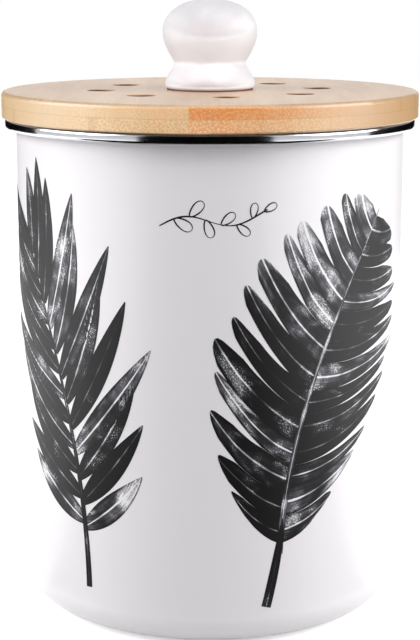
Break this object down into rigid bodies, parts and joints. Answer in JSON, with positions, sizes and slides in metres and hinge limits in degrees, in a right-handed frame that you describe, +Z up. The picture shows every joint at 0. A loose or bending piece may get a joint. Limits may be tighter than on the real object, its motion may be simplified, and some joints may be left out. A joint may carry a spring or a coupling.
{
  "type": "compost caddy",
  "caption": "Round enamelled steel compost caddy with a metal rim band, a vented bamboo lid with knob, a charcoal filter and a lift-out pail with a bail.",
  "frame": {"origin": "centre of the ring the caddy stands on, at floor level", "axes": "+Z up, through the knob; +X to the right and +Y to the back as seen from the front"},
  "size_m": [0.193, 0.193, 0.2825],
  "materials": {
    "enamel": "glossy white vitreous enamel on drawn steel",
    "polished_steel": "mirror-polished stainless steel",
    "bamboo": "laminated bamboo, sanded and oiled",
    "silicone": "soft matt silicone",
    "knob_glaze": "white gloss glaze",
    "gasket": "reddish-brown rubber",
    "brass": "turned brass",
    "steel_wire": "bright drawn steel",
    "steel_sheet": "brushed stainless sheet",
    "charcoal": "needled felt loaded with charcoal",
    "pail_plastic": "satin moulded polypropylene",
    "grip_plastic": "matt moulded polypropylene"
  },
  "bodies": {
    "caddy": {"body_shell": "enamel", "rim_band": "polished_steel"},
    "pail": {"inner_pail": "pail_plastic"},
    "bail": {"bail_wire": "steel_wire", "bail_grip": "grip_plastic"},
    "lid": {"lid_board": "bamboo", "plug_ring": "bamboo", "lid_seal": "silicone", "knob": "knob_glaze", "knob_insert": "brass", "knob_gasket": "gasket", "knob_screw": "steel_wire", "screw_washer": "steel_wire", "upper_filter": "charcoal", "lower_filter": "charcoal", "filter_guard": "grip_plastic", "button_screws": "steel_wire"},
    "turn_button_1": {"turn_button_1": "steel_sheet"},
    "turn_button_2": {"turn_button_2": "steel_sheet"},
    "turn_button_3": {"turn_button_3": "steel_sheet"}
  },
  "joints": [
    {"name": "pail_lift", "type": "slide", "parent": "caddy", "child": "pail", "axis": [0, 0, 1], "range_m": [0, 0.23]},
    {"name": "lid_lift", "type": "slide", "parent": "pail", "child": "lid", "axis": [0, 0, 1], "range_m": [0, 0.3]},
    {"name": "bail_swing", "type": "hinge", "parent": "pail", "child": "bail", "pos_m": [0, 0, 0.2094], "axis": [-1, 0, 0], "range_deg": [0, 180]},
    {"name": "turn_button_1_swivel", "type": "hinge", "parent": "lid", "child": "turn_button_1", "pos_m": [0, 0.074, 0.219], "axis": [0, 0, 1], "range_deg": [0, 90]},
    {"name": "turn_button_2_swivel", "type": "hinge", "parent": "lid", "child": "turn_button_2", "pos_m": [-0.06409, -0.037, 0.219], "axis": [0, 0, 1], "range_deg": [0, 90]},
    {"name": "turn_button_3_swivel", "type": "hinge", "parent": "lid", "child": "turn_button_3", "pos_m": [0.06409, -0.037, 0.219], "axis": [0, 0, 1], "range_deg": [0, 90]}
  ],
  "couplings": [
    {"joint": "bail_swing", "follows": "lid_lift", "rad_per_m": 10.472}
  ]
}
